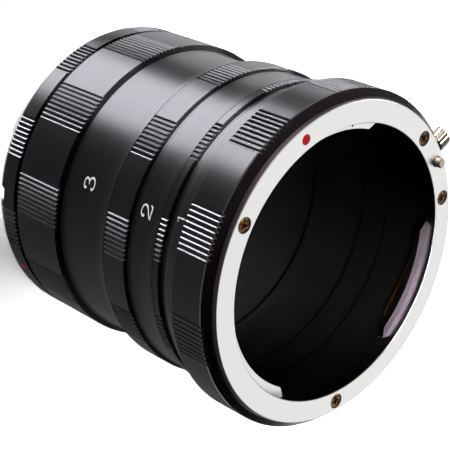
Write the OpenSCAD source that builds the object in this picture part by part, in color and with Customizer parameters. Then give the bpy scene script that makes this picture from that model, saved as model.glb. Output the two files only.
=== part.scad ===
// Macro extension tube for a bayonet lens camera, all five sections screwed together
// It stands on its camera end, the axis is Z and the lens end faces up

/* [Sections] */

// Camera mount section, from its flange to the first joint, mm
camera_len = 6; // [5:0.1:9]
// Tube section marked 3, mm
tube3_len = 28; // [20:0.1:36]
// Tube section marked 2, mm
tube2_len = 13.6; // [11:0.1:18]
// Tube section marked 1, mm
tube1_len = 7.4; // [6:0.1:10]
// Lens mount section, from the last joint to its flange face, mm
lens_len = 10; // [8:0.1:14]

/* [Outside] */

// Radius of the grip band of the camera section and of tubes 3 and 1, mm
band_r = 31; // [24:0.1:38]
// How far the band of tube 2 stands out past that radius, mm
band2_step = 0.2; // [0:0.05:0.6]
// How far the band of the lens section stands out past that radius, mm
lens_step = 2; // [1.6:0.05:3]
// Length of the grip band of tube 3, mm
band3_len = 12.4; // [8:0.1:16]
// Length of the grip band of tube 2, mm
band2_len = 5.95; // [4:0.05:7]
// Length of the grip band of tube 1, mm
band1_len = 1.7; // [1:0.05:2.2]
// Depth of the plain waist of tube 3 below the bands, mm
waist3_depth = 1.4; // [0.6:0.05:1.7]
// Depth of the plain waist of tube 2 below the bands, mm
waist2_depth = 0.7; // [0.4:0.05:1.2]
// Depth of the plain waist of tube 1 below the bands, mm
waist1_depth = 0.9; // [0.4:0.05:1.2]
// Width of each half of the groove at the first joint, mm
seam_groove = 0.5; // [0.2:0.05:0.8]
// Depth of that groove, mm
seam_depth = 1.1; // [0.5:0.1:1.6]
// Break on the rear edge of each band, mm
edge_break = 0.12; // [0.05:0.01:0.3]

/* [Grip] */

// Number of grooved patches around a band
patches = 10; // [6:1:14]
// Grooves in one patch
grooves = 9; // [5:1:11]
// Angle from one groove to the next, degrees
groove_step = 1.75; // [1.4:0.05:2.4]
// Width of a groove at the surface, as a share of that step
groove_share = 0.78; // [0.4:0.01:0.85]
// Width of a groove where its bevelled lips end, as a share of that step
neck_share = 0.38; // [0.2:0.01:0.6]
// Depth of a groove, mm
groove_depth = 0.42; // [0.2:0.02:0.6]
// Depth of the bevelled lips, mm
lip_depth = 0.13; // [0.05:0.01:0.19]

/* [Bore and threads] */

// Wall from the bore through the tubes to their bands, mm
wall = 3.5; // [3:0.1:5]
// Wall of the threaded spigot behind each section, mm
spigot_wall = 1.5; // [1.2:0.1:1.8]
// Length of the spigot on a tube, mm
spigot_len = 1.7; // [1.2:0.1:2]
// Length of the spigot on the lens section, mm
lens_spigot_len = 2.8; // [1.2:0.1:3.3]
// Free space past the end of a spigot in its socket, mm
spigot_gap = 0.7; // [0.2:0.1:0.9]
// Radial clearance of the screwed joints, mm
thread_fit = 0.06; // [0.02:0.01:0.1]

/* [Lens mount] */

// Width of the black bezel around the face of the plate, mm
rim = 1.6; // [1.2:0.05:2]
// How far the throat of the plate stands in past the bore, mm
throat_step = 0.5; // [0.3:0.05:0.8]
// Height of the face above the black ring, mm
face_proud = 1.1; // [0.5:0.1:1.4]
// Depth of the plate at the throat, mm
plate_depth = 2.8; // [2.3:0.1:3.3]
// How far the seat of the plate is smaller than its face, mm
seat_step = 0.5; // [0.2:0.05:0.8]
// How far the three lugs stand in past the throat, mm
lug_reach = 1.6; // [1:0.1:2]
// Depth of the lugs below the face, mm
lug_drop = 2.2; // [1:0.1:2.6]
// Thickness of a lug, mm
lug_thick = 1.2; // [1:0.1:1.8]
// Half angle of a lug at its inner edge, degrees
lug_half = 23.7; // [15:0.1:26]
// Extra half angle of a lug at its root, degrees
lug_root = 4; // [0:0.1:5]
// Directions of the middles of the three lugs, degrees
lug_turns = [50, 167.2, 288.4]; // [0:0.1:360]
// Diameter of a plate screw head, mm
lens_screw_head = 3; // [2.4:0.1:3.1]
// Diameter of a plate screw shank, mm
lens_screw_shank = 1.6; // [1.2:0.1:2]
// Diameter of the index dot on the face, mm
face_dot = 2; // [1.4:0.1:2.4]
// Direction of the index dot on the face, degrees
face_dot_turn = 305; // [0:1:359]

/* [Lock] */

// Direction of the lock pin and its knob, degrees
lock_turn = 221.5; // [216:0.5:226]
// How far the lock pin stands out past the circle of the plate screws, mm
lock_step = 0.3; // [0:0.05:0.5]
// Diameter of the pin tip, mm
pin_tip = 2; // [1.6:0.1:2.2]
// Height of the pin above the face, mm
pin_out = 1.35; // [0.8:0.05:1.8]
// Travel of the pin, mm
pin_travel = 1.5; // [1:0.1:1.7]
// Diameter of the guided part of the pin, mm
pin_body = 3.1; // [2.6:0.1:3.2]
// Radial clearance of the pin in its bore, mm
pin_fit = 0.05; // [0.02:0.01:0.1]
// Diameter of the release knob, mm
knob_dia = 4.4; // [3.6:0.1:5]
// Length of the release knob, mm
knob_len = 2.8; // [2:0.1:4]
// Depth of the knob axis below the face, mm
knob_drop = 4; // [3.6:0.1:4.4]
// Diameter of the stem of the knob, mm
stem_dia = 1.6; // [1.2:0.1:1.8]
// Height of the coil spring under the pin, mm
spring_high = 2.6; // [2:0.1:3]

/* [Leaf springs] */

// Thickness of a leaf spring, mm
leaf_thick = 0.25; // [0.15:0.01:0.3]
// How far its arm bows away from the lug, mm
leaf_bow = 0.95; // [0.5:0.05:1.2]
// Length of its arm from the clamped tab to the low point, mm
leaf_arm = 12.5; // [9:0.1:14]
// Length of the end that curls up again, mm
leaf_curl = 2.1; // [1.5:0.1:3]

/* [Camera mount] */

// Height of the collar behind the camera flange, mm
collar_len = 6; // [5:0.1:7.2]
// Radial clearance of the collar in a throat of the size above, mm
collar_gap = 1.8; // [1.7:0.05:2.4]
// Wall of the collar, mm
collar_wall = 1.4; // [1:0.05:2]
// Radial clearance of its lugs in such a throat, mm
male_lug_gap = 0.2; // [0.1:0.05:0.6]
// Distance of the collar lugs behind the flange, mm
male_lug_drop = 3.55; // [3.4:0.05:3.65]
// Thickness of a collar lug, mm
male_lug_thick = 1.3; // [1:0.1:1.35]
// Half angle of a collar lug at its outer edge, degrees
male_lug_half = 23; // [15:0.5:26]
// How far the flange plate is smaller than its ring, mm
flange_step = 0.6; // [0.3:0.05:1]
// Thickness of the flange plate, mm
flange_thick = 1.15; // [0.8:0.05:1.5]
// Distance of the flange screws from the edge of the plate, mm
flange_screw_in = 1.5; // [1.4:0.05:1.9]
// Diameter of a flange screw head, mm
flange_screw_head = 2.6; // [2:0.1:2.7]
// Diameter of a flange screw shank, mm
flange_screw_shank = 1.4; // [1:0.1:1.6]
// Direction of the red index dot on the side, degrees
side_dot_turn = 39.7; // [0:0.1:359]
// Diameter of the index dot on the side, mm
side_dot = 1.8; // [1.2:0.1:2.2]
// Direction of the slot that takes a lock pin, degrees
slot_turn = 8.5; // [0:0.5:20]
// Width of that slot, mm
slot_width = 2.6; // [2.4:0.1:3.2]

/* [Hidden] */

band2_r = band_r + band2_step;
lens_r = band_r + lens_step;
waist3_r = band_r - waist3_depth;
waist2_r = band_r - waist2_depth;
waist1_r = band_r - waist1_depth;
bore_r = band_r - wall;
thread_r = bore_r + spigot_wall;
socket_r = thread_r + thread_fit;
throat_r = bore_r - throat_step;
face_r = lens_r - rim;
plate_seat_r = face_r - seat_step;
lug_in_r = throat_r - lug_reach;
lens_screw_pcr = (throat_r + face_r) / 2;
lock_r = lens_screw_pcr + lock_step;
dot_r = lens_screw_pcr - 0.1;
collar_r = throat_r - collar_gap;
collar_bore_r = collar_r - collar_wall;
male_lug_r = throat_r - male_lug_gap;
flange_r = band_r - flange_step;
flange_screw_pcr = flange_r - flange_screw_in;

z_flange = collar_len;
z_joint_a = z_flange + camera_len;
z_joint_b = z_joint_a + tube3_len;
z_joint_c = z_joint_b + tube2_len;
z_joint_d = z_joint_c + tube1_len;
z_face = z_joint_d + lens_len;
z_ring = z_flange + flange_thick;
z_side_dot = z_ring + 0.4 * (z_joint_a - seam_groove - z_ring);
z_lug_top = z_face - lug_drop;
z_lug_low = z_lug_top - lug_thick;
z_plate_low = z_face - plate_depth;
z_proud = z_face - face_proud;
z_knob = z_face - knob_drop;
z_pin_low = z_knob - pin_travel - 1.1;
z_spring_low = z_pin_low - spring_high;

pitch = band_r * groove_step * PI / 180;
groove_width = groove_share * pitch;
groove_neck = neck_share * pitch;
bezel = rim - 0.2;
play = 0.03;
spring_turns = 3.3;
spring_r = pin_body / 2 - 0.25;
spring_wire = 0.28;
leaf_in_r = lug_in_r + 0.2;
leaf_out_r = throat_r + 0.2;
tab_r = bore_r + 0.7;
tab_half = 5.5;
leaf_turn = 14;
arm_turn = 18;
arm_start = leaf_in_r * sin(arm_turn);
arm_low = arm_start - leaf_arm;
head_drop = 0.2;
head_high = 0.9;
lens_screw_len = 5;
flange_screw_len = 3.1;
dot_deep = 0.35;
$fn = 96;

black = [0.07, 0.07, 0.08];
chrome = [0.82, 0.82, 0.83];
bronze = [0.36, 0.28, 0.18];
steel = [0.75, 0.72, 0.68];
copper = [0.62, 0.36, 0.20];
red = [0.80, 0.05, 0.10];

lens_screw_turns = [104.8, 204.7, 235.6, 342.4];
flange_screw_turns = [58, 148, 238, 328];

// One grip groove with bevelled lips, cut along the axis
module groove(r, low, high) {
    translate([0, 0, low])
        linear_extrude(height = high - low)
            polygon([
                [r + 0.2, -groove_width / 2 - 0.2],
                [r - 0.01, -groove_width / 2],
                [r - lip_depth, -groove_neck / 2],
                [r - groove_depth, -groove_neck / 2],
                [r - groove_depth, groove_neck / 2],
                [r - lip_depth, groove_neck / 2],
                [r - 0.01, groove_width / 2],
                [r + 0.2, groove_width / 2 + 0.2]
            ]);
}

// All grooves of a band, in patches with plain lands between them
module grip(r, low, high, clock) {
    for (p = [0 : patches - 1])
        for (g = [0 : grooves - 1])
            rotate([0, 0, clock + p * 360 / patches + (g - (grooves - 1) / 2) * groove_step])
                groove(r, low, high);
}

// Sector of a flat ring between two radii, its ends slanted outwards by the root angle
module lug(r_in, r_out, low, high, half_in, half_out) {
    intersection() {
        translate([0, 0, low])
            difference() {
                cylinder(r = r_out, h = high - low);
                translate([0, 0, -1])
                    cylinder(r = r_in, h = high - low + 2);
            }
        translate([0, 0, low - 0.5])
            linear_extrude(height = high - low + 1)
                polygon([
                    [0.3 * r_in * cos(half_in), -0.3 * r_in * sin(half_in)],
                    [r_in * cos(half_in), -r_in * sin(half_in)],
                    [r_out * cos(half_out), -r_out * sin(half_out)],
                    [1.4 * r_out * cos(half_out), -1.4 * r_out * sin(half_out)],
                    [1.4 * r_out * cos(half_out), 1.4 * r_out * sin(half_out)],
                    [r_out * cos(half_out), r_out * sin(half_out)],
                    [r_in * cos(half_in), r_in * sin(half_in)],
                    [0.3 * r_in * cos(half_in), 0.3 * r_in * sin(half_in)]
                ]);
    }
}

// Cross recess for a screwdriver, cut down from a screw head
module cross_recess(top, size, deep) {
    translate([-size / 2, -0.19, top - deep])
        cube([size, 0.38, deep + 1]);
    translate([-0.19, -size / 2, top - deep])
        cube([0.38, size, deep + 1]);
}

// Camera mount: flange, collar, three collar lugs and the ring that centres it
module camera_bayonet() {
    color(chrome)
        difference() {
            union() {
                rotate_extrude()
                    polygon([
                        [collar_bore_r, 0],
                        [collar_r - 0.3, 0],
                        [collar_r, 0.3],
                        [collar_r, z_flange],
                        [flange_r - 0.15, z_flange],
                        [flange_r, z_flange + 0.15],
                        [flange_r, z_ring],
                        [bore_r - 0.1, z_ring],
                        [bore_r - 0.1, z_ring + 1],
                        [bore_r - 1.3, z_ring + 1],
                        [bore_r - 1.3, z_ring],
                        [collar_bore_r + 0.4, z_ring],
                        [collar_bore_r, z_ring - 0.4]
                    ]);
                for (k = [0 : 2])
                    rotate([0, 0, side_dot_turn + 43 + k * 120])
                        lug(collar_r - 0.3, male_lug_r, z_flange - male_lug_drop - male_lug_thick,
                            z_flange - male_lug_drop, male_lug_half + 2, male_lug_half);
            }
            rotate([0, 0, slot_turn])
                translate([lock_r - pin_tip / 2 - 0.4, -slot_width / 2, z_flange - 1])
                    cube([5, slot_width, 4]);
            for (a = flange_screw_turns)
                rotate([0, 0, a])
                    translate([flange_screw_pcr, 0, z_flange - 0.01]) {
                        cylinder(d1 = flange_screw_head + 2 * play, d2 = flange_screw_shank + 2 * play,
                            h = (flange_screw_head - flange_screw_shank) / 2);
                        cylinder(d = flange_screw_shank + 2 * play, h = 3);
                    }
        }
}

// Black ring of the camera section, with the first screwed socket
module camera_ring() {
    color(black)
        difference() {
            rotate_extrude()
                polygon([
                    [bore_r, z_ring],
                    [band_r - 0.3, z_ring],
                    [band_r, z_ring + 0.3],
                    [band_r, z_joint_a - seam_groove - 0.1],
                    [band_r - 0.1, z_joint_a - seam_groove],
                    [band_r - seam_depth, z_joint_a - seam_groove],
                    [band_r - seam_depth, z_joint_a],
                    [socket_r, z_joint_a],
                    [socket_r, z_joint_a - spigot_len - spigot_gap],
                    [bore_r, z_joint_a - spigot_len - spigot_gap]
                ]);
            grip(band_r, z_ring - 1, z_joint_a - seam_groove + 0.1, 21);
            rotate([0, 0, slot_turn])
                translate([lock_r - pin_tip / 2, -slot_width / 2, z_ring - 1])
                    cube([5, slot_width, 1.9]);
            for (a = flange_screw_turns)
                rotate([0, 0, a])
                    translate([flange_screw_pcr, 0, z_flange])
                        cylinder(d = flange_screw_shank + 2 * play, h = flange_screw_len + 0.1);
            rotate([0, 0, side_dot_turn])
                translate([band_r - dot_deep, 0, z_side_dot])
                    rotate([0, 90, 0])
                        cylinder(d = side_dot, h = 2);
        }
}

// Countersunk screw of the camera flange
module camera_screw(a) {
    color(bronze)
        rotate([0, 0, a])
            translate([flange_screw_pcr, 0, z_flange])
                difference() {
                    union() {
                        cylinder(d1 = flange_screw_head, d2 = flange_screw_shank,
                            h = (flange_screw_head - flange_screw_shank) / 2);
                        translate([0, 0, 0.3])
                            cylinder(d = flange_screw_shank, h = flange_screw_len - 0.3);
                    }
                    translate([0, 0, 0.45])
                        mirror([0, 0, 1])
                            cross_recess(0.45, 1.6, 0.45);
                }
}

module camera_screw_1() {
    camera_screw(flange_screw_turns[0]);
}

module camera_screw_2() {
    camera_screw(flange_screw_turns[1]);
}

module camera_screw_3() {
    camera_screw(flange_screw_turns[2]);
}

module camera_screw_4() {
    camera_screw(flange_screw_turns[3]);
}

// Red enamel dot on the side of the camera section
module camera_index_dot() {
    color(red)
        rotate([0, 0, side_dot_turn])
            translate([band_r - dot_deep, 0, z_side_dot])
                rotate([0, 90, 0])
                    cylinder(d = side_dot - 2 * play, h = dot_deep - 0.02);
}

// Tube 3: spigot, grooved band, waist and the flare over its socket
module tube_3() {
    color(black)
        difference() {
            rotate_extrude()
                polygon([
                    [bore_r, z_joint_a - spigot_len],
                    [thread_r - 0.2, z_joint_a - spigot_len],
                    [thread_r, z_joint_a - spigot_len + 0.2],
                    [thread_r, z_joint_a],
                    [band_r - seam_depth, z_joint_a],
                    [band_r - seam_depth, z_joint_a + seam_groove],
                    [band_r - 0.1, z_joint_a + seam_groove],
                    [band_r, z_joint_a + seam_groove + 0.1],
                    [band_r, z_joint_a + seam_groove + band3_len - 0.1],
                    [band_r - 0.1, z_joint_a + seam_groove + band3_len],
                    [waist3_r + 0.3, z_joint_a + seam_groove + band3_len + 0.5],
                    [waist3_r, z_joint_a + seam_groove + band3_len + 1.1],
                    [waist3_r, z_joint_b - 4.6],
                    [waist3_r + 0.15, z_joint_b - 3.4],
                    [waist3_r + 0.5, z_joint_b - 2.2],
                    [waist3_r + 1, z_joint_b - 1.1],
                    [band2_r - 0.05, z_joint_b - 0.35],
                    [band2_r, z_joint_b],
                    [socket_r, z_joint_b],
                    [socket_r, z_joint_b - spigot_len - spigot_gap],
                    [bore_r, z_joint_b - spigot_len - spigot_gap]
                ]);
            grip(band_r, z_joint_a + 0.2, z_joint_a + seam_groove + band3_len + 0.1, 4.2);
        }
}

// Tube 2, the same build with a shorter band
module tube_2() {
    color(black)
        difference() {
            rotate_extrude()
                polygon([
                    [bore_r, z_joint_b - spigot_len],
                    [thread_r - 0.2, z_joint_b - spigot_len],
                    [thread_r, z_joint_b - spigot_len + 0.2],
                    [thread_r, z_joint_b],
                    [band2_r - edge_break, z_joint_b],
                    [band2_r, z_joint_b + edge_break],
                    [band2_r, z_joint_b + band2_len - 0.1],
                    [band2_r - 0.1, z_joint_b + band2_len],
                    [waist2_r + 0.25, z_joint_b + band2_len + 0.35],
                    [waist2_r, z_joint_b + band2_len + 0.8],
                    [waist2_r + 0.05, z_joint_c - 4.5],
                    [waist2_r + 0.25, z_joint_c - 2.4],
                    [band_r - 0.15, z_joint_c - 0.9],
                    [band_r, z_joint_c],
                    [socket_r, z_joint_c],
                    [socket_r, z_joint_c - spigot_len - spigot_gap],
                    [bore_r, z_joint_c - spigot_len - spigot_gap]
                ]);
            grip(band2_r, z_joint_b - 0.1, z_joint_b + band2_len + 0.1, 3.3);
        }
}

// Tube 1, whose flare rises to the wider lens section
module tube_1() {
    color(black)
        difference() {
            rotate_extrude()
                polygon([
                    [bore_r, z_joint_c - spigot_len],
                    [thread_r - 0.2, z_joint_c - spigot_len],
                    [thread_r, z_joint_c - spigot_len + 0.2],
                    [thread_r, z_joint_c],
                    [band_r - edge_break, z_joint_c],
                    [band_r, z_joint_c + edge_break],
                    [band_r, z_joint_c + band1_len - 0.1],
                    [band_r - 0.1, z_joint_c + band1_len],
                    [waist1_r + 0.2, z_joint_c + band1_len + 0.3],
                    [waist1_r, z_joint_c + band1_len + 0.7],
                    [waist1_r, z_joint_c + band1_len + 1.2],
                    [waist1_r + 0.7, z_joint_c + band1_len + 1.6],
                    [waist1_r + 1.5, z_joint_c + band1_len + 2.9],
                    [lens_r - 0.65, z_joint_d - 1.2],
                    [lens_r - 0.25, z_joint_d],
                    [socket_r, z_joint_d],
                    [socket_r, z_joint_d - lens_spigot_len - spigot_gap],
                    [bore_r, z_joint_d - lens_spigot_len - spigot_gap]
                ]);
            grip(band_r, z_joint_c - 0.1, z_joint_c + band1_len + 0.1, 33.6);
        }
}

// Black ring of the lens section, with the pin bore, the knob slot and the plate seat
module lens_ring() {
    color(black)
        difference() {
            rotate_extrude()
                polygon([
                    [bore_r, z_joint_d - lens_spigot_len],
                    [thread_r - 0.2, z_joint_d - lens_spigot_len],
                    [thread_r, z_joint_d - lens_spigot_len + 0.2],
                    [thread_r, z_joint_d],
                    [lens_r - 0.25, z_joint_d],
                    [lens_r, z_joint_d + 0.35],
                    [lens_r, z_proud - 0.7 * bezel],
                    [lens_r - bezel, z_proud],
                    [plate_seat_r + 0.05, z_proud],
                    [plate_seat_r + 0.05, z_plate_low - 0.05],
                    [bore_r, z_plate_low - 0.05]
                ]);
            grip(lens_r, z_joint_d - 0.1, z_proud - bezel / 2, 25.2);
            for (a = lens_screw_turns)
                rotate([0, 0, a])
                    translate([lens_screw_pcr, 0, z_face - lens_screw_len - 0.1])
                        cylinder(d = lens_screw_shank + 2 * play, h = lens_screw_len - 1);
            rotate([0, 0, lock_turn]) {
                translate([lock_r, 0, z_spring_low])
                    cylinder(d = pin_body + 2 * pin_fit, h = 10);
                hull() {
                    translate([lock_r, 0, z_knob + 0.05])
                        rotate([0, 90, 0])
                            cylinder(d = stem_dia + 0.2, h = lens_r - lock_r + 1.5, $fn = 32);
                    translate([lock_r, 0, z_knob - pin_travel - 0.15])
                        rotate([0, 90, 0])
                            cylinder(d = stem_dia + 0.2, h = lens_r - lock_r + 1.5, $fn = 32);
                }
            }
            for (k = [0 : 2])
                rotate([0, 0, lug_turns[k] + leaf_turn])
                    lug(bore_r - 1, tab_r + 0.1, z_lug_low - leaf_thick - 0.05, z_plate_low + 1,
                        tab_half + 0.4, tab_half + 0.4);
        }
}

// Bright lens mount plate with three lugs
module lens_bayonet() {
    color(chrome)
        difference() {
            union() {
                rotate_extrude()
                    polygon([
                        [throat_r, z_plate_low],
                        [plate_seat_r, z_plate_low],
                        [plate_seat_r, z_proud],
                        [face_r, z_proud],
                        [face_r, z_face - 0.2],
                        [face_r - 0.2, z_face],
                        [throat_r + 0.1, z_face],
                        [throat_r, z_face - 0.1]
                    ]);
                for (k = [0 : 2])
                    rotate([0, 0, lug_turns[k]]) {
                        lug(lug_in_r, throat_r + 0.3, z_lug_low, z_lug_top,
                            lug_half, lug_half + lug_root);
                        rotate([0, 0, leaf_turn])
                            lug(throat_r - 0.3, tab_r, z_lug_low, z_plate_low + 0.3,
                                tab_half, tab_half);
                    }
            }
            for (a = lens_screw_turns)
                rotate([0, 0, a])
                    translate([lens_screw_pcr, 0, z_face - head_drop - head_high]) {
                        cylinder(d = lens_screw_head + 2 * play, h = 3);
                        translate([0, 0, -plate_depth - 1])
                            cylinder(d = lens_screw_shank + 2 * play, h = plate_depth + 2);
                    }
            rotate([0, 0, lock_turn])
                translate([lock_r, 0, z_plate_low - 1])
                    cylinder(d = pin_tip + 0.3, h = plate_depth + 2);
            rotate([0, 0, face_dot_turn])
                translate([dot_r, 0, z_face - dot_deep])
                    cylinder(d = face_dot, h = 1);
            rotate([0, 0, 275.5])
                translate([lug_in_r + 0.6, 0, z_lug_top - 0.6])
                    cylinder(d = 0.5, h = 1);
        }
}

// Screw of the lens mount plate
module lens_screw(a) {
    color(bronze)
        rotate([0, 0, a])
            translate([lens_screw_pcr, 0, z_face])
                difference() {
                    union() {
                        translate([0, 0, -head_drop - head_high])
                            cylinder(d = lens_screw_head, h = head_high);
                        translate([0, 0, -lens_screw_len])
                            cylinder(d = lens_screw_shank, h = lens_screw_len - 0.8);
                    }
                    cross_recess(-head_drop, 1.8, 0.5);
                }
}

module lens_screw_1() {
    lens_screw(lens_screw_turns[0]);
}

module lens_screw_2() {
    lens_screw(lens_screw_turns[1]);
}

module lens_screw_3() {
    lens_screw(lens_screw_turns[2]);
}

module lens_screw_4() {
    lens_screw(lens_screw_turns[3]);
}

// Red enamel dot on the face
module lens_index_dot() {
    color(red)
        rotate([0, 0, face_dot_turn])
            translate([dot_r, 0, z_face - dot_deep])
                cylinder(d = face_dot - 2 * play, h = dot_deep - 0.02);
}

// Leaf spring under a lug: a clamped tab, and an arm that bows away and curls up at its end
module leaf_spring(k) {
    color(copper)
        rotate([0, 0, lug_turns[k] + leaf_turn])
            union() {
                lug(leaf_in_r, tab_r, z_lug_low - leaf_thick, z_lug_low, tab_half, tab_half);
                intersection() {
                    translate([0, 0, z_lug_low - 2 * leaf_bow])
                        difference() {
                            cylinder(r = leaf_out_r, h = 3 * leaf_bow);
                            translate([0, 0, -1])
                                cylinder(r = leaf_in_r + 0.15, h = 3 * leaf_bow + 2);
                        }
                    rotate([0, 0, -arm_turn])
                        rotate([90, 0, 90])
                            linear_extrude(height = leaf_out_r + 3)
                                polygon([
                                    [arm_start, z_lug_low - 0.2 * leaf_thick],
                                    [arm_start - 0.31 * leaf_arm, z_lug_low - 0.45 * leaf_bow],
                                    [arm_low + 0.24 * leaf_arm, z_lug_low - 0.95 * leaf_bow],
                                    [arm_low, z_lug_low - leaf_bow],
                                    [arm_low - leaf_curl, z_lug_low - 0.6 * leaf_bow],
                                    [arm_low - leaf_curl, z_lug_low - 0.6 * leaf_bow - leaf_thick],
                                    [arm_low, z_lug_low - leaf_bow - leaf_thick],
                                    [arm_low + 0.24 * leaf_arm, z_lug_low - 0.95 * leaf_bow - leaf_thick],
                                    [arm_start - 0.31 * leaf_arm, z_lug_low - 0.45 * leaf_bow - leaf_thick],
                                    [arm_start, z_lug_low - 0.8 * leaf_thick]
                                ]);
                }
            }
}

module leaf_spring_1() {
    leaf_spring(0);
}

module leaf_spring_2() {
    leaf_spring(1);
}

module leaf_spring_3() {
    leaf_spring(2);
}

// Lock pin: round tip through the face, wider guided body with a cross hole for the knob
module lock_pin() {
    color(steel)
        rotate([0, 0, lock_turn])
            difference() {
                translate([lock_r, 0, 0]) {
                    translate([0, 0, z_pin_low])
                        cylinder(d = pin_body, h = z_plate_low - z_pin_low - 0.05);
                    translate([0, 0, z_plate_low - 1])
                        cylinder(d = pin_tip, h = plate_depth + 1 + pin_out - 0.2);
                    translate([0, 0, z_face + pin_out - 0.2])
                        cylinder(d1 = pin_tip, d2 = pin_tip - 0.4, h = 0.2);
                }
                translate([lock_r - 0.6, 0, z_knob])
                    rotate([0, 90, 0])
                        cylinder(d = stem_dia + 2 * play, h = pin_body);
            }
}

// Coil spring under the lock pin, wound from flat wire
module lock_spring() {
    color(steel)
        rotate([0, 0, lock_turn])
            translate([lock_r, 0, z_spring_low])
                linear_extrude(height = spring_high, twist = -360 * spring_turns,
                    slices = 40, segments = 14)
                    polygon(concat(
                        [for (k = [0 : 6]) [spring_r * cos(k * 20), spring_r * sin(k * 20)]],
                        [for (k = [6 : -1 : 0]) (spring_r - spring_wire) * [cos(k * 20), sin(k * 20)]]
                    ));
}

// Knurled release knob on its radial stem
module release_knob() {
    color(steel)
        rotate([0, 0, lock_turn])
            translate([0, 0, z_knob])
                rotate([0, 90, 0])
                    union() {
                        translate([0, 0, lock_r - 0.6])
                            cylinder(d = stem_dia, h = lens_r + 0.5 - lock_r + 0.6);
                        translate([0, 0, lens_r + 0.4])
                            difference() {
                                union() {
                                    cylinder(d = knob_dia, h = knob_len - 0.25);
                                    translate([0, 0, knob_len - 0.25])
                                        cylinder(d1 = knob_dia, d2 = knob_dia - 0.5, h = 0.25);
                                }
                                for (k = [0 : 17])
                                    rotate([0, 0, k * 20])
                                        translate([knob_dia / 2 + 0.08, 0, -1])
                                            cylinder(r = 0.32, h = 6, $fn = 4);
                            }
                    }
}

camera_bayonet();
camera_ring();
camera_screw_1();
camera_screw_2();
camera_screw_3();
camera_screw_4();
camera_index_dot();
tube_3();
tube_2();
tube_1();
lens_ring();
lens_bayonet();
lens_screw_1();
lens_screw_2();
lens_screw_3();
lens_screw_4();
lens_index_dot();
leaf_spring_1();
leaf_spring_2();
leaf_spring_3();
lock_pin();
lock_spring();
release_knob();
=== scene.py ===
# Looks for the macro extension tube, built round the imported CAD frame
# Metres everywhere unless a note says mm; the tube stands on its camera end and its axis is Z
import math

import bpy
import numpy as np
from mathutils import Matrix, Vector


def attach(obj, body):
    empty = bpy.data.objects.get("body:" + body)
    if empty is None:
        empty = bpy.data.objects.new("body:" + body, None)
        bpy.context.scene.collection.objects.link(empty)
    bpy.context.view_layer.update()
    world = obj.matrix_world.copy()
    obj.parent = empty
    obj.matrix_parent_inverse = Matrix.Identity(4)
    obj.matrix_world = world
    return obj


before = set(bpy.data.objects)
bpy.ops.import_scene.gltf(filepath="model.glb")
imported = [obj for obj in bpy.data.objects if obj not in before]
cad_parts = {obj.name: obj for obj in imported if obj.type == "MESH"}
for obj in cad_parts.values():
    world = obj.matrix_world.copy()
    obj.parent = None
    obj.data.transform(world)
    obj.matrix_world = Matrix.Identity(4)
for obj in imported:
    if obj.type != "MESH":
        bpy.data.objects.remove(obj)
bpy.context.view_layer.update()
print("frame loaded with", len(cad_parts), "nodes")

mm = 0.001


# One node with its settings and links: inputs holds a value, a socket or a node for each socket name
def addNode(tree, kind, inputs=None, **settings):
    node = tree.nodes.new(kind)
    for name, value in settings.items():
        setattr(node, name, value)
    for name, value in (inputs or {}).items():
        socket = node.inputs[name]
        if isinstance(value, bpy.types.NodeSocket):
            tree.links.new(value, socket)
        elif isinstance(value, bpy.types.Node):
            tree.links.new(value.outputs[0], socket)
        else:
            socket.default_value = value
    return node


# sRGB hex to the linear colour that the shaders want: straight near black, then a power of 2.4
def hexColour(text):
    parts = np.array([int(text[i:i + 2], 16) for i in (1, 3, 5)]) / 255
    linear = np.where(parts <= 0.04045, parts / 12.92, ((parts + 0.055) / 1.055) ** 2.4)
    return (*[float(v) for v in linear], 1.0)


# A material with an empty node tree
def newMaterial(name):
    material = bpy.data.materials.new(name)
    material.use_nodes = True
    material.node_tree.nodes.clear()
    return material, material.node_tree


# Camera, where the photo was taken from: its place and its three axes
cameraView = {
    "place": (0.20064, -0.06686, 0.22987),
    "right": (-0.7080042, -0.1861700, 0.6812274),
    "down": (0.0409327, 0.9521871, 0.3027612),
    "forward": (-0.7050210, 0.2422407, -0.6665320),
    "lens": 114.4,  # mm
    "sensor": 36,  # mm
    "clip": (0.01, 20),
}


# The camera looks along minus its own Z with Y up, so down and forward change sign
def addCamera(view):
    data = bpy.data.cameras.new("photoCamera")
    data.lens = view["lens"]
    data.sensor_width = view["sensor"]
    data.clip_start, data.clip_end = view["clip"]
    camera = bpy.data.objects.new("photoCamera", data)
    bpy.context.scene.collection.objects.link(camera)
    axes = np.array([view["right"], -np.array(view["down"]), -np.array(view["forward"])]).T
    camera.matrix_world = Matrix.Translation(view["place"]) @ Matrix(axes.tolist()).to_4x4()
    bpy.context.scene.camera = camera


addCamera(cameraView)
bpy.context.scene.view_settings.view_transform = "Standard"
print("camera set")


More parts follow.
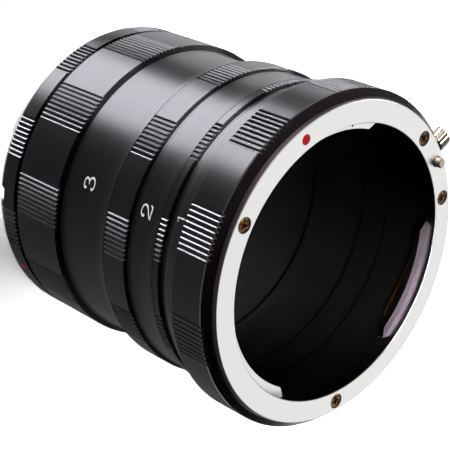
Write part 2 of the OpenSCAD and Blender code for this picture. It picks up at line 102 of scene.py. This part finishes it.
# Plain pale floor, dim air and lamps; angles in degrees, power in watts
studio = {
    "floor": "#F6F6F6",
    "floorReach": 4.0,  # from the middle to each edge
    # how much paler the eye and the metal see the paper than its light on the object is
    "floorSeen": 5.6,
    "floorMirrored": 3.4,
    # the air is bright on one side and fades to nothing towards the camera
    "airTurn": 185,
    "airLevel": (0.0, 0.10),
    "airFadesFrom": -0.2,  # cosine of the angle to the bright side
    # a soft box behind, and two long thin strips far off, just above the floor, which the black
    # walls mirror: azimuth, elevation, distance from the target, width, height, power
    "target": (0, 0, 0.036),
    "boxes": {
        "topBox": (165, 43, 0.90, 0.95, 0.80, 3.45),
        "sideBox": (295, -0.433, 3.90, 3.10, 0.01, 1000.0),
        "rimBox": (234, -0.433, 3.90, 2.60, 0.01, 168.0),
    },
    # narrow spots down the light path and on the red dot: from where, to where, power, cone,
    # softness of the edge
    "spots": {
        "pathSpot": ((-0.008, -0.012, 1.07), (-0.008, -0.012, 0), 38.0, 1.25, 0.5),
        "dotSpot": ((0.020, -0.0215, 1.07), (0.020, -0.0215, 0.071), 20.0, 0.40, 0.3),
    },
    "spotSize": 0.012,  # radius of each spot's lamp
    # a fan of them, 1 m off in front, onto the lug at the back of the throat
    "lugFan": {
        "azimuths": (302, 318, 334, 350, 6, 22, 38),
        "elevation": 45,
        "target": (-0.0244, 0.0104, 0.0696),
        "power": 9.0,
        "cone": 1.60,
        "edge": 0.4,
    },
}


# A flat square sheet of white paper, matt. Its colour times gain is what a ray sees, with gain 1 for
# the light that the floor gives, so the eye and mirrored rays see it paler, shadow and all
def addFloor(plan):
    reach = plan["floorReach"]
    corners = [(-reach, -reach, 0), (reach, -reach, 0), (reach, reach, 0), (-reach, reach, 0)]
    mesh = bpy.data.meshes.new("floor")
    mesh.from_pydata(corners, [], [(0, 1, 2, 3)])
    floor = bpy.data.objects.new("floor", mesh)
    bpy.context.scene.collection.objects.link(floor)
    paper, tree = newMaterial("paperFloor")
    path = addNode(tree, "ShaderNodeLightPath")
    mirrored = addNode(tree, "ShaderNodeMath", {
        0: path.outputs["Is Glossy Ray"],
        1: path.outputs["Is Transmission Ray"]}, operation="MAXIMUM")
    gain = addNode(tree, "ShaderNodeMath", {
        0: mirrored, 1: plan["floorMirrored"] - 1, 2: 1.0}, operation="MULTIPLY_ADD")
    gain = addNode(tree, "ShaderNodeMath", {
        0: path.outputs["Is Camera Ray"], 1: plan["floorSeen"] - 1, 2: gain}, operation="MULTIPLY_ADD")
    tone = addNode(tree, "ShaderNodeVectorMath", {
        0: hexColour(plan["floor"])[:3], "Scale": gain}, operation="SCALE")
    shader = addNode(tree, "ShaderNodeBsdfDiffuse", {"Color": tone, "Roughness": 0.0})
    addNode(tree, "ShaderNodeOutputMaterial", {"Surface": shader})
    mesh.materials.append(paper)


# The air's level follows the cosine of the angle to its bright side
def addAir(plan):
    world = bpy.data.worlds.new("studioAir")
    world.use_nodes = True
    tree = world.node_tree
    tree.nodes.clear()
    turn = math.radians(plan["airTurn"])
    dim, bright = plan["airLevel"]
    look = addNode(tree, "ShaderNodeTexCoord")
    side = addNode(tree, "ShaderNodeVectorMath", {
        0: look.outputs["Generated"],
        1: (math.cos(turn), math.sin(turn), 0)}, operation="DOT_PRODUCT")
    level = addNode(tree, "ShaderNodeMapRange", {
        "Value": side.outputs["Value"], "From Min": plan["airFadesFrom"], "From Max": 1,
        "To Min": dim, "To Max": bright})
    air = addNode(tree, "ShaderNodeBackground", {
        "Color": (1, 1, 1, 1), "Strength": level.outputs["Result"]})
    addNode(tree, "ShaderNodeOutputWorld", {"Surface": air})
    bpy.context.scene.world = world


# The way out from the object at an azimuth and an elevation, one metre long
def outward(azimuth, elevation):
    a = math.radians(azimuth)
    e = math.radians(elevation)
    return Vector((math.cos(a) * math.cos(e), math.sin(a) * math.cos(e), math.sin(e)))


# A lamp at a place, with its back turned the given way
def addLamp(name, kind, power, place, back):
    lamp = bpy.data.lights.new(name, kind)
    lamp.energy = power
    holder = bpy.data.objects.new(name, lamp)
    bpy.context.scene.collection.objects.link(holder)
    holder.location = place
    holder.rotation_euler = back.to_track_quat("Z", "Y").to_euler()
    return lamp


# The boxes, then the narrow spots and the fan of them
def addLamps(plan):
    for name, (azimuth, elevation, distance, width, height, power) in plan["boxes"].items():
        away = outward(azimuth, elevation)
        lamp = addLamp(name, "AREA", power, Vector(plan["target"]) + away * distance, away)
        lamp.shape = "RECTANGLE"
        lamp.size = width
        lamp.size_y = height
    spots = dict(plan["spots"])
    fan = plan["lugFan"]
    for azimuth in fan["azimuths"]:
        place = Vector(fan["target"]) + outward(azimuth, fan["elevation"])
        spots["lugSpot%d" % azimuth] = (place, fan["target"], fan["power"], fan["cone"], fan["edge"])
    for name, (place, target, power, cone, edge) in spots.items():
        lamp = addLamp(name, "SPOT", power, place, Vector(place) - Vector(target))
        lamp.spot_size = math.radians(cone)
        lamp.spot_blend = edge
        lamp.shadow_soft_size = plan["spotSize"]


addFloor(studio)
addAir(studio)
addLamps(studio)
print("studio built")


# Materials. Pattern counts are per mm, and heights, radii and depths are in mm

# Distance from the axis, from Object coordinates
def axisDistance(tree, place):
    flat = addNode(tree, "ShaderNodeVectorMath", {
        0: place.outputs["Object"], 1: (1, 1, 0)}, operation="MULTIPLY")
    return addNode(tree, "ShaderNodeVectorMath", {0: flat}, operation="LENGTH").outputs["Value"]


# Black anodised aluminium, turned on a lathe: a satin skin whose fine turning rings
# stretch each reflection along the axis, and a dull black bore
blackTube = {
    "dye": ("#000000", "#030203"),
    "clouds": 0.16,  # faint patches of the dye, about 6 mm
    "rings": (0.06, 0.06, 4.0),  # turning rings of 0.25 mm, coarser than real so that they show
    "ringSpread": (0.3, 0.7),
    "roughness": (0.45, 0.51),
    "index": 1.62,  # refractive index of the oxide skin
    "mirrorTint": "#F6F7FF",
    "stretch": 1.0,
    "stretchTurn": 0.25,  # a quarter turn, from round the tube to along it
    "grit": 3.2,  # sandy grain of the etch, about 0.3 mm
    "grainDepth": 0.02,
    "grainStrength": 0.22,
    # smoother shoulders where a face looks towards the lens end, so they mirror the dark above
    "shoulderTilt": (0.55, 0.75),
    "shoulderRoughness": 0.20,
    # painted highlight: one side of each grip groove is made brighter by a higher index, where the normal
    # leans round the tube this far
    "grooveLean": (-0.30, -0.60),
    "grooveHighlightIndex": 2.30,
    # a brown and smoother bevel round the bright plate, which mirrors rather than glows
    "bevelHeight": (68.3, 68.8),
    "bevelTone": "#070405",
    "bevelRoughness": 0.22,
    "bevelIndex": 1.6,
    # thread on the screwed faces
    "threadPitch": 0.75,
    "threadRadius": 29.03,
    "threadReach": 0.07,
    "threadDepth": 0.6,  # share of half the pitch
    "edgeRounding": 0.03,  # of every sharp edge
    # the bore, all that lies within this radius
    "boreRadius": 28.1,
    "boreTone": "#050405",
    "boreRoughness": 0.50,
    "boreIndex": 1.40,
}


def anodisedBlack(look):
    material, tree = newMaterial("anodisedBlack")
    place = addNode(tree, "ShaderNodeTexCoord")
    radius = axisDistance(tree, place)
    height = addNode(tree, "ShaderNodeSeparateXYZ", {"Vector": place.outputs["Object"]}).outputs["Z"]
    rings = addNode(tree, "ShaderNodeMapping", {
        "Vector": place.outputs["Object"], "Scale": [count / mm for count in look["rings"]]})
    rings = addNode(tree, "ShaderNodeTexNoise", {
        "Vector": rings, "Scale": 1.0, "Detail": 3.0, "Roughness": 0.6})
    clouds = addNode(tree, "ShaderNodeTexNoise", {
        "Vector": place.outputs["Object"], "Scale": look["clouds"] / mm, "Detail": 4.0})
    dark, pale = look["dye"]
    tone = addNode(tree, "ShaderNodeMix", {
        "Factor": clouds.outputs["Fac"], "A": hexColour(dark), "B": hexColour(pale)}, data_type="RGBA")
    low, high = look["ringSpread"]
    smooth, rough = look["roughness"]
    roughness = addNode(tree, "ShaderNodeMapRange", {
        "Value": rings.outputs["Fac"], "From Min": low, "From Max": high,
        "To Min": smooth, "To Max": rough})
    facing = addNode(tree, "ShaderNodeSeparateXYZ", {"Vector": place.outputs["Normal"]})
    low, high = look["shoulderTilt"]
    shoulder = addNode(tree, "ShaderNodeMapRange", {
        "Value": facing.outputs["Z"], "From Min": low, "From Max": high, "To Max": 1.0})
    roughness = addNode(tree, "ShaderNodeMix", {
        "Factor": shoulder.outputs["Result"], "A": roughness.outputs["Result"],
        "B": look["shoulderRoughness"]})
    # how far the normal leans round the tube, (x * ny - y * nx) / radius
    lean = addNode(tree, "ShaderNodeVectorMath", {
        0: place.outputs["Object"], 1: place.outputs["Normal"]}, operation="CROSS_PRODUCT")
    lean = addNode(tree, "ShaderNodeSeparateXYZ", {"Vector": lean})
    lean = addNode(tree, "ShaderNodeMath", {0: lean.outputs["Z"], 1: radius}, operation="DIVIDE")
    low, high = look["grooveLean"]
    # painted highlight: the higher index on one side of each groove
    index = addNode(tree, "ShaderNodeMapRange", {
        "Value": lean, "From Min": low, "From Max": high,
        "To Min": look["index"], "To Max": look["grooveHighlightIndex"]})
    low, high = look["bevelHeight"]
    bevel = addNode(tree, "ShaderNodeMapRange", {
        "Value": height, "From Min": low * mm, "From Max": high * mm,
        "To Max": 1.0}, interpolation_type="SMOOTHSTEP")
    tone = addNode(tree, "ShaderNodeMix", {
        "Factor": bevel, "A": tone.outputs["Result"], "B": hexColour(look["bevelTone"])},
        data_type="RGBA")
    # the thread is a triangle wave along the axis, only where the screwed faces lie
    wave = addNode(tree, "ShaderNodeMath", {
        0: height, 1: look["threadPitch"] / 2 * mm}, operation="PINGPONG")
    screwed = addNode(tree, "ShaderNodeMath", {
        0: radius, 1: look["threadRadius"] * mm, 2: look["threadReach"] * mm}, operation="COMPARE")
    thread = addNode(tree, "ShaderNodeMath", {0: wave, 1: screwed}, operation="MULTIPLY")
    rounded = addNode(tree, "ShaderNodeBevel", {"Radius": look["edgeRounding"] * mm}, samples=4)
    cut = addNode(tree, "ShaderNodeBump", {
        "Strength": 1.0, "Distance": look["threadDepth"], "Height": thread, "Normal": rounded})
    grit = addNode(tree, "ShaderNodeTexNoise", {
        "Vector": place.outputs["Object"], "Scale": look["grit"] / mm, "Detail": 2.0})
    grain = addNode(tree, "ShaderNodeMath", {
        0: rings.outputs["Fac"], 1: grit.outputs["Fac"]}, operation="ADD")
    bump = addNode(tree, "ShaderNodeBump", {
        "Strength": look["grainStrength"], "Distance": look["grainDepth"] * mm,
        "Height": grain, "Normal": cut})
    around = addNode(tree, "ShaderNodeTangent", direction_type="RADIAL", axis="Z")
    outer = addNode(tree, "ShaderNodeBsdfPrincipled", {
        "Base Color": tone.outputs["Result"], "Roughness": roughness, "IOR": index.outputs["Result"],
        "Specular Tint": hexColour(look["mirrorTint"]), "Anisotropic": look["stretch"],
        "Anisotropic Rotation": look["stretchTurn"], "Tangent": around, "Normal": bump})
    inner = addNode(tree, "ShaderNodeBsdfPrincipled", {
        "Base Color": hexColour(look["boreTone"]), "Roughness": look["boreRoughness"],
        "IOR": look["boreIndex"], "Normal": bump})
    inside = addNode(tree, "ShaderNodeMath", {
        0: radius, 1: look["boreRadius"] * mm}, operation="LESS_THAN")
    tube = addNode(tree, "ShaderNodeMixShader", {"Fac": inside, 1: outer, 2: inner})
    brown = addNode(tree, "ShaderNodeBsdfPrincipled", {
        "Base Color": tone.outputs["Result"], "Roughness": look["bevelRoughness"],
        "IOR": look["bevelIndex"], "Normal": bump})
    skin = addNode(tree, "ShaderNodeMixShader", {"Fac": bevel, 1: tube, 2: brown})
    addNode(tree, "ShaderNodeOutputMaterial", {"Surface": skin})
    return material


# Satin chrome on brass, the face turned: soft grey reflections drawn out in circles
brightPlate = {
    "tone": "#C9C9C8",
    "rings": 5.0,  # turning marks 0.2 mm apart, coarser than real so that they show
    "ringDepth": 0.01,
    "ringStrength": 0.1,
    "roughness": (0.30, 0.38),
    # a lilac tone on the throat wall and the lugs' sides, darker than the plate: painted shade and a
    # painted lilac reflection; these faces are also smoother and mirror the dark inside: within this
    # radius, above this height, on steep faces
    "throatShadeAndSheenTone": "#8A7A86",
    "throatRoughness": 0.24,
    "throatRadius": 27.08,
    "throatFloor": 60.0,
    "steepness": 0.5,
    # brown on the plate's outer edge
    "edgeTone": "#3F3536",
    "edgeRadius": (31.28, 31.38),
}


def satinChrome(look):
    material, tree = newMaterial("satinChrome")
    place = addNode(tree, "ShaderNodeTexCoord")
    radius = axisDistance(tree, place)
    height = addNode(tree, "ShaderNodeSeparateXYZ", {"Vector": place.outputs["Object"]}).outputs["Z"]
    rings = addNode(tree, "ShaderNodeMath", {0: radius, 1: look["rings"] / mm}, operation="MULTIPLY")
    rings = addNode(tree, "ShaderNodeTexNoise", {
        "W": rings, "Scale": 1.0, "Detail": 2.0}, noise_dimensions="1D")
    smooth, rough = look["roughness"]
    roughness = addNode(tree, "ShaderNodeMapRange", {
        "Value": rings.outputs["Fac"], "To Min": smooth, "To Max": rough})
    facing = addNode(tree, "ShaderNodeSeparateXYZ", {"Vector": place.outputs["Normal"]})
    throat = addNode(tree, "ShaderNodeMath", {
        0: facing.outputs["Z"], 1: 0.0, 2: look["steepness"]}, operation="COMPARE")
    inner = addNode(tree, "ShaderNodeMath", {
        0: radius, 1: look["throatRadius"] * mm}, operation="LESS_THAN")
    lensEnd = addNode(tree, "ShaderNodeMath", {
        0: height, 1: look["throatFloor"] * mm}, operation="GREATER_THAN")
    for limit in (inner, lensEnd):
        throat = addNode(tree, "ShaderNodeMath", {0: throat, 1: limit}, operation="MULTIPLY")
    roughness = addNode(tree, "ShaderNodeMix", {
        "Factor": throat, "A": roughness.outputs["Result"], "B": look["throatRoughness"]})
    bump = addNode(tree, "ShaderNodeBump", {
        "Strength": look["ringStrength"], "Distance": look["ringDepth"] * mm,
        "Height": rings.outputs["Fac"]})
    low, high = look["edgeRadius"]
    edge = addNode(tree, "ShaderNodeMapRange", {
        "Value": radius, "From Min": low * mm, "From Max": high * mm})
    tone = addNode(tree, "ShaderNodeMix", {
        "Factor": edge.outputs["Result"], "A": hexColour(look["tone"]),
        "B": hexColour(look["edgeTone"])}, data_type="RGBA")
    # painted shade and painted lilac reflection: the throat wall and the lugs' sides get the darker lilac
    # tone
    tone = addNode(tree, "ShaderNodeMix", {
        "Factor": throat, "A": tone.outputs["Result"],
        "B": hexColour(look["throatShadeAndSheenTone"])}, data_type="RGBA")
    skin = addNode(tree, "ShaderNodeBsdfPrincipled", {
        "Base Color": tone.outputs["Result"], "Metallic": 1.0,
        "Roughness": roughness.outputs["Result"], "Normal": bump})
    addNode(tree, "ShaderNodeOutputMaterial", {"Surface": skin})
    return material


# Bronzed steel screws: dark brown skin, worn to gold in blotches of about 0.7 mm
screwSkin = {"tones": ("#3E2A1C", "#B98A50"), "blotches": 1.5, "spread": (0.50, 0.78), "roughness": 0.38}


def bronzedScrew(look):
    material, tree = newMaterial("bronzedScrew")
    place = addNode(tree, "ShaderNodeTexCoord")
    wear = addNode(tree, "ShaderNodeTexNoise", {
        "Vector": place.outputs["Object"], "Scale": look["blotches"] / mm, "Detail": 3.0})
    low, high = look["spread"]
    wear = addNode(tree, "ShaderNodeMapRange", {
        "Value": wear.outputs["Fac"], "From Min": low, "From Max": high})
    brown, gold = look["tones"]
    tone = addNode(tree, "ShaderNodeMix", {
        "Factor": wear.outputs["Result"], "A": hexColour(brown), "B": hexColour(gold)},
        data_type="RGBA")
    skin = addNode(tree, "ShaderNodeBsdfPrincipled", {
        "Base Color": tone.outputs["Result"], "Metallic": 1.0, "Roughness": look["roughness"]})
    addNode(tree, "ShaderNodeOutputMaterial", {"Surface": skin})
    return material


# A plain bare metal whose roughness varies in a fine grain
def grainyMetal(name, look):
    material, tree = newMaterial(name)
    place = addNode(tree, "ShaderNodeTexCoord")
    grain = addNode(tree, "ShaderNodeTexNoise", {
        "Vector": place.outputs["Object"], "Scale": look["grain"] / mm, "Detail": 2.0})
    smooth, rough = look["roughness"]
    roughness = addNode(tree, "ShaderNodeMapRange", {
        "Value": grain.outputs["Fac"], "To Min": smooth, "To Max": rough})
    skin = addNode(tree, "ShaderNodeBsdfPrincipled", {
        "Base Color": hexColour(look["tone"]), "Metallic": 1.0,
        "Roughness": roughness.outputs["Result"]})
    addNode(tree, "ShaderNodeOutputMaterial", {"Surface": skin})
    return material


# Nickel plated steel, turned: warm bright grey, with a grain of about 0.3 mm
nickelSkin = {"tone": "#A0968C", "grain": 3.0, "roughness": (0.34, 0.46)}

# Phosphor bronze strip, rolled: a copper glint, with a grain of 0.4 mm
springSkin = {"tone": "#C98A62", "grain": 2.5, "roughness": (0.24, 0.36)}


# A coat of colour that varies between two tones in soft spots
def spottedCoat(name, look):
    material, tree = newMaterial(name)
    place = addNode(tree, "ShaderNodeTexCoord")
    spots = addNode(tree, "ShaderNodeTexNoise", {
        "Vector": place.outputs["Object"], "Scale": look["spots"] / mm, "Detail": look["detail"]})
    first, second = look["tones"]
    tone = addNode(tree, "ShaderNodeMix", {
        "Factor": spots.outputs["Fac"], "A": hexColour(first), "B": hexColour(second)},
        data_type="RGBA")
    skin = addNode(tree, "ShaderNodeBsdfPrincipled", {
        "Base Color": tone.outputs["Result"], "Roughness": look["roughness"], "IOR": look["index"]})
    addNode(tree, "ShaderNodeOutputMaterial", {"Surface": skin})
    return material


# Red stove enamel in a drilled seat: a deep red, kept matt so that no reflection pales it
enamelCoat = {
    "tones": ("#EC0C18", "#F4141E"), "spots": 0.9, "detail": 1.0, "roughness": 0.7, "index": 1.3,
}

# Filling paint of the digits: matt grey, which the strong light strip turns off-white
paintCoat = {
    "tones": ("#706C6E", "#868284"), "spots": 2.2, "detail": 2.0, "roughness": 0.6, "index": 1.5,
}

finishes = {
    "anodised": anodisedBlack(blackTube),
    "chrome": satinChrome(brightPlate),
    "screw": bronzedScrew(screwSkin),
    "steel": grainyMetal("nickelSteel", nickelSkin),
    "spring": grainyMetal("phosphorBronze", springSkin),
    "enamel": spottedCoat("redEnamel", enamelCoat),
    "paint": spottedCoat("fillingPaint", paintCoat),
}

# The screws and leaf springs are told by their names
nodeFinish = {
    "camera_ring": "anodised", "tube_3": "anodised", "tube_2": "anodised", "tube_1": "anodised",
    "lens_ring": "anodised", "camera_bayonet": "chrome", "lens_bayonet": "chrome",
    "camera_index_dot": "enamel", "lens_index_dot": "enamel",
    "lock_pin": "steel", "lock_spring": "steel", "release_knob": "steel",
}
for name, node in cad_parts.items():
    finish = nodeFinish.get(name, "screw" if "screw" in name else "spring")
    node.data.materials.clear()
    node.data.materials.append(finishes[finish])
print("finishes given to the CAD nodes")


# Digits, thin pads of paint on the plain wall: all sizes in mm, angles in degrees. A digit stands
# on its tube at an angle and a height, leaning a little. Its profile is the wall's height and
# radius there. A stroke is its points, right and up from the middle, and its width along them.
digits = {
    "number_3": {
        "body": "tube_3", "turn": 351.0, "z": 31.7, "lean": 4.0,
        "profile": ([26.0, 35.4], [29.6, 29.6]),
        "strokes": [
            ([(-1.02, 1.04), (-0.92, 1.39), (-0.30, 1.61), (0.42, 1.56), (0.92, 1.18), (0.82, 0.67),
              (0.38, 0.36), (-0.22, 0.24)],
             [0.22, 0.30, 0.22, 0.25, 0.38, 0.36, 0.25, 0.16]),
            ([(-0.10, 0.29), (0.50, 0.29), (1.10, -0.13), (1.12, -0.70), (0.60, -1.15), (-0.20, -1.27),
              (-0.90, -1.05), (-1.14, -0.63)],
             [0.18, 0.22, 0.37, 0.40, 0.27, 0.22, 0.30, 0.24]),
        ],
        "balls": [((-0.90, 1.09), 0.27), ((-1.00, -0.70), 0.29)],
    },
    "number_2": {
        "body": "tube_2", "turn": 351.4, "z": 48.9, "lean": 0.0,
        "profile": ([46.75, 49.1, 51.2, 52.7], [30.3, 30.35, 30.55, 30.85]),
        "strokes": [
            ([(-1.06, 0.44), (-0.91, 0.90), (-0.31, 1.24), (0.41, 1.22), (1.03, 0.86), (1.10, 0.31),
              (0.67, -0.18), (-0.06, -0.61), (-0.78, -1.08), (-1.15, -1.49)],
             [0.22, 0.30, 0.22, 0.22, 0.33, 0.37, 0.31, 0.24, 0.22, 0.22]),
            ([(-1.21, -1.51), (-0.63, -1.44), (0.22, -1.49), (0.99, -1.44), (1.25, -1.17), (1.33, -0.82)],
             [0.25, 0.25, 0.31, 0.34, 0.25, 0.15]),
        ],
        "balls": [((-0.89, 0.49), 0.27)],
    },
    "number_1": {
        "body": "tube_1", "turn": 348.8, "z": 59.5, "lean": 3.0,
        "profile": ([56.5, 56.9, 58.2, 59.8, 61.0], [30.1, 30.8, 31.6, 32.35, 32.75]),
        "strokes": [
            ([(0.30, 1.62), (0.34, 0.60), (0.38, -0.40), (0.42, -1.36)], [0.21, 0.25, 0.26, 0.26]),
            ([(0.36, 1.56), (0.06, 1.22), (-0.46, 1.02)], [0.16, 0.18, 0.12]),
        ],
        "balls": [],
    },
}

# The paint stands a little proud of the wall, each stroke a touch above the one before, and
# reaches down into it
paintRise = {"lift": 0.020, "step": 0.003, "depth": 0.06}


# Cubic curve through the given points, with the same number of samples between each two, as
# whole arrays: it passes b and c of four neighbours a, b, c, d with slopes (c - a) / 2 and (d - b) / 2
def smoothPath(points, count):
    p = np.asarray(points, float)
    ends = np.vstack([2 * p[0] - p[1], p, 2 * p[-1] - p[-2]])
    s = np.linspace(0, len(p) - 1 - 1e-9, count)  # just short, so that the last sample has a span
    i = s.astype(int)
    t = (s - i)[:, None]
    a, b, c, d = ends[i], ends[i + 1], ends[i + 2], ends[i + 3]
    return 0.5 * (2 * b + (c - a) * t + (2 * a - 5 * b + 4 * c - d) * t ** 2
                  + (3 * b - a - 3 * c + d) * t ** 3)


# A stroke is a ribbon along a path: at each station a row across it, as wide as the stroke is
# there, so point = path + side * width * v
def strokeGrid(points, widths, stations=40, across=5):
    path = smoothPath(points, stations)
    share = np.linspace(0, 1, stations)
    wide = np.interp(share, np.linspace(0, 1, len(widths)), widths)
    along = np.gradient(path, axis=0)
    along /= np.linalg.norm(along, axis=1)[:, None]
    side = np.stack([-along[:, 1], along[:, 0]], 1)
    v = np.linspace(-0.5, 0.5, across)
    return path[:, None] + side[:, None] * (wide[:, None] * v)[..., None]


# A round blob at a stroke's end, as a grid of rings round its middle: point = middle + r * (cos a, sin a)
def ballGrid(middle, radius, innermost=0.02, rings=5, spokes=24):
    a = np.linspace(0, 2 * math.pi, spokes + 1)
    r = np.linspace(innermost, radius, rings)
    return np.array(middle) + np.stack([np.outer(r, np.cos(a)), np.outer(r, np.sin(a))], -1)


# Wraps flat digit points on the tube: up is towards the camera end, right is clockwise seen from the
# lens, so angle = turn - u / r and z = middle - v, with r from the tube's own profile plus a lift
def wrapOnTube(flat, plan, lift):
    lean = math.radians(plan["lean"])
    u = flat[..., 0] * math.cos(lean) - flat[..., 1] * math.sin(lean)
    v = flat[..., 0] * math.sin(lean) + flat[..., 1] * math.cos(lean)
    z = plan["z"] - v
    r = np.interp(z, *plan["profile"]) + lift
    angle = math.radians(plan["turn"]) - u / r
    return np.stack([r * np.cos(angle), r * np.sin(angle), z], -1) * mm


# Four-cornered faces between neighbouring points of a grid, whose points are numbered row by row
# from start; flip turns the faces over
def gridFaces(rows, columns, start, flip):
    i = np.arange(rows * columns).reshape(rows, columns) + start
    quads = np.stack([i[:-1, :-1], i[1:, :-1], i[1:, 1:], i[:-1, 1:]], -1).reshape(-1, 4)
    return quads[:, ::-1] if flip else quads


# A closed lens of paint: the wrapped grid as top, the same grid lower as underside, and a rim between
def closedPatch(flat, plan, start, lift, depth):
    rows, columns = flat.shape[:2]
    top = wrapOnTube(flat, plan, lift).reshape(-1, 3)
    low = wrapOnTube(flat, plan, -depth).reshape(-1, 3)
    n = rows * columns
    i = np.arange(n).reshape(rows, columns)
    loop = np.concatenate([i[0, :-1], i[:-1, -1], i[-1, :0:-1], i[:0:-1, 0]])
    after = np.roll(loop, -1)
    rim = np.stack([loop, after, after + n, loop + n], -1) + start
    faces = [gridFaces(rows, columns, start, False), gridFaces(rows, columns, start + n, True), rim]
    return np.vstack([top, low]), np.vstack(faces)


# A digit is its strokes and then its balls, each a closed patch of its own
def addDigit(name, plan, rise):
    flats = [strokeGrid(path, widths) for path, widths in plan["strokes"]]
    flats += [ballGrid(middle, radius) for middle, radius in plan["balls"]]
    points, faces, start = [], [], 0
    for i, flat in enumerate(flats):
        lift = rise["lift"] + i * rise["step"]
        p, f = closedPatch(flat[:, ::-1], plan, start, lift, rise["depth"])
        points.append(p)
        faces.append(f)
        start += len(p)
    mesh = bpy.data.meshes.new(name)
    mesh.from_pydata(np.vstack(points).tolist(), [], np.vstack(faces).tolist())
    mesh.validate()
    mesh.materials.append(finishes["paint"])
    piece = bpy.data.objects.new(name, mesh)
    bpy.context.scene.collection.objects.link(piece)
    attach(piece, plan["body"])


for name, plan in digits.items():
    addDigit(name, plan, paintRise)
print("digits painted")
